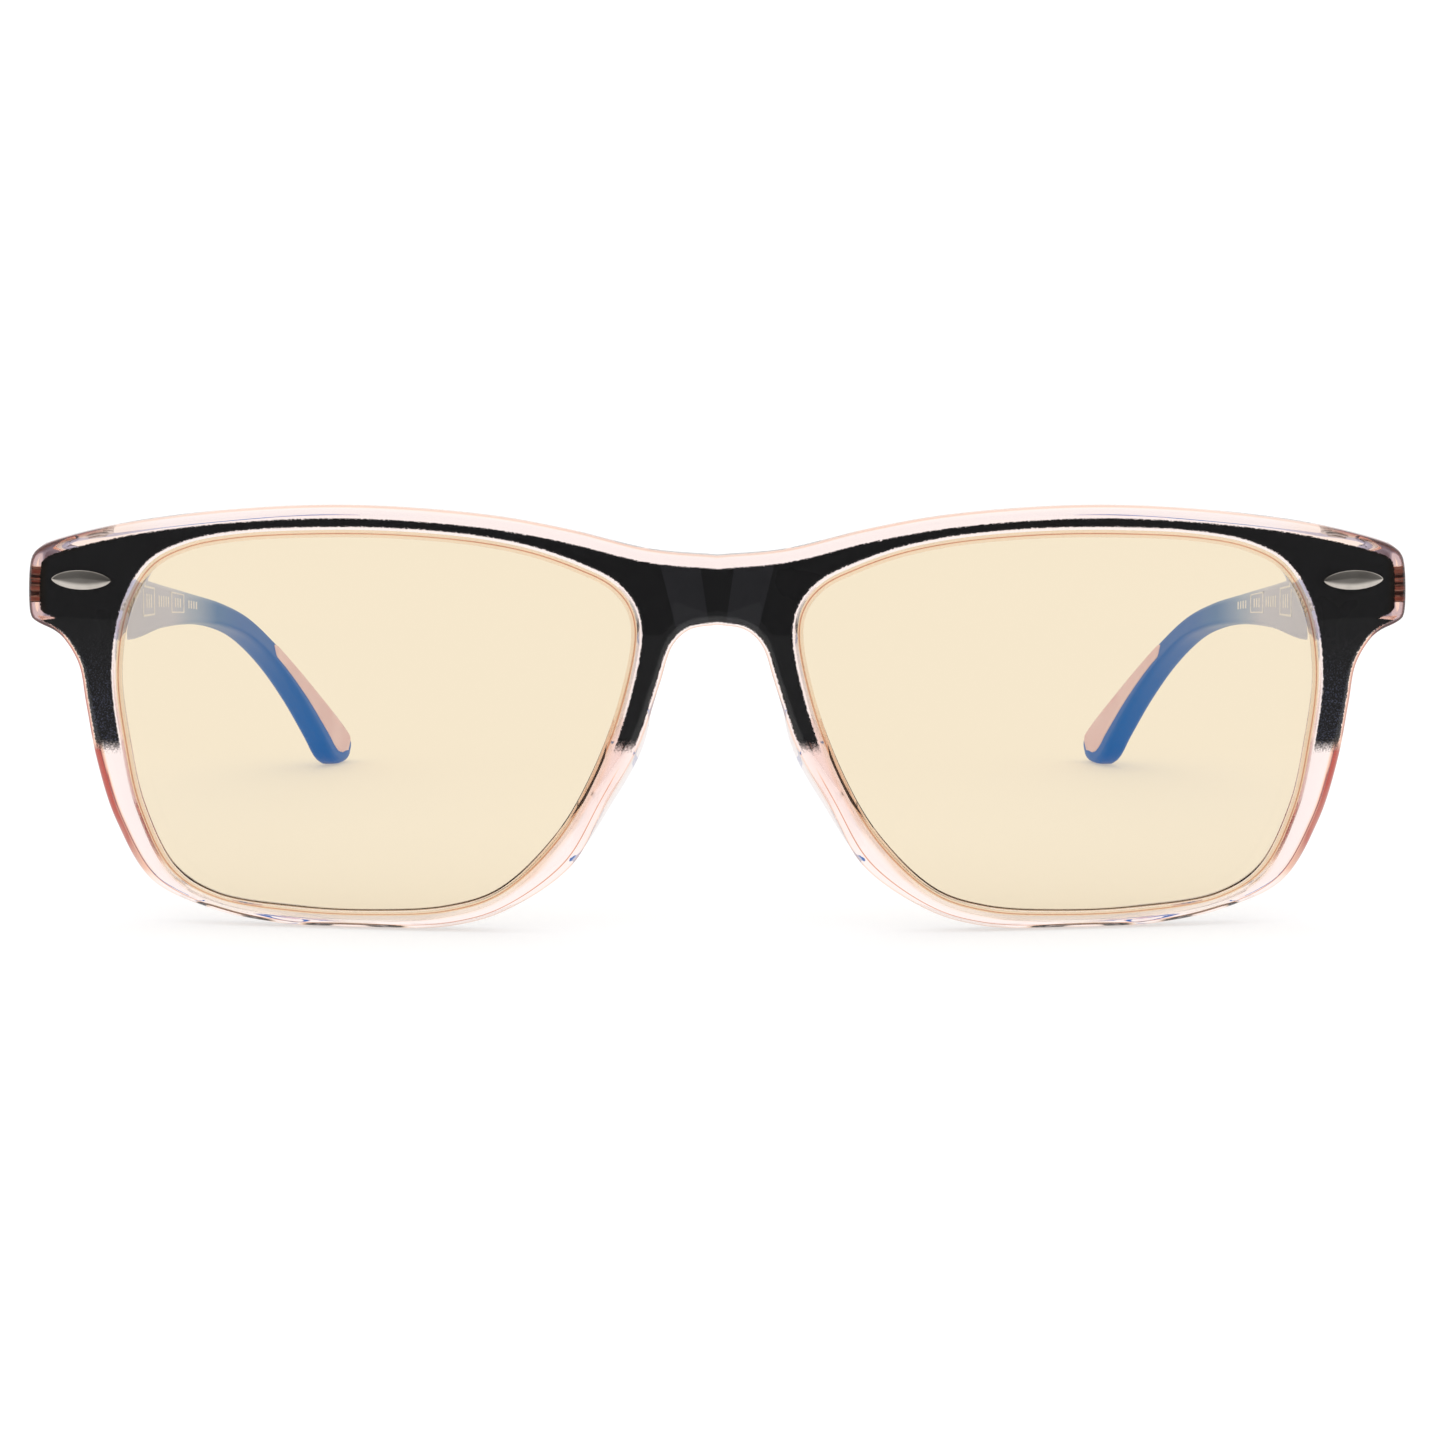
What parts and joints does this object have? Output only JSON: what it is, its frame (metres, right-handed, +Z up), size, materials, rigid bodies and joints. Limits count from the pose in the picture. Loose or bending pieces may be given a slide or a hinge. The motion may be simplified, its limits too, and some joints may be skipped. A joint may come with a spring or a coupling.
{
  "type": "blue light glasses",
  "caption": "Rectangular full-rim glasses with a clear pink front, black brow fade, amber lenses and folding blue temples.",
  "frame": {"origin": "on the table, under the middle of the bounding box, with the temples open", "axes": "the front faces -Y, the temples run back along +Y, +X is to the right as seen from the front, +Z is up"},
  "size_m": [0.1402, 0.1468, 0.0428],
  "materials": {
    "clear_pink": "polished transparent pale pink plastic",
    "black_face": "glossy black with fine dark sparkle, fading out at its lower ends",
    "amber_lens": "clear pale amber coated lens",
    "blue_plastic": "satin to glossy blue plastic",
    "pink_pad": "matte soft pale pink",
    "polished_steel": "mirror polished",
    "hinge_metal": "satin nickel"
  },
  "bodies": {
    "front": {"front_frame": "clear_pink", "front_face_layer": "black_face", "lens_left": "amber_lens", "lens_right": "amber_lens", "nose_pad_left": "clear_pink", "nose_pad_right": "clear_pink", "accent_stud_left": "polished_steel", "accent_stud_right": "polished_steel", "hinge_front_leaf_left": "hinge_metal", "hinge_front_leaf_right": "hinge_metal", "hinge_screw_left": "hinge_metal", "hinge_screw_right": "hinge_metal"},
    "temple_left": {"temple_arm_left": "blue_plastic", "temple_tip_pad_left": "pink_pad", "hinge_temple_leaf_left": "hinge_metal"},
    "temple_right": {"temple_arm_right": "blue_plastic", "temple_tip_pad_right": "pink_pad", "hinge_temple_leaf_right": "hinge_metal"}
  },
  "joints": [
    {"name": "temple_left_fold", "type": "hinge", "parent": "front", "child": "temple_left", "pos_m": [-0.063, -0.05436, 0.0339], "axis": [0, 0, -1], "range_deg": [0, 84]},
    {"name": "temple_right_fold", "type": "hinge", "parent": "front", "child": "temple_right", "pos_m": [0.063, -0.05436, 0.0339], "axis": [0, 0, 1], "range_deg": [0, 78]}
  ]
}
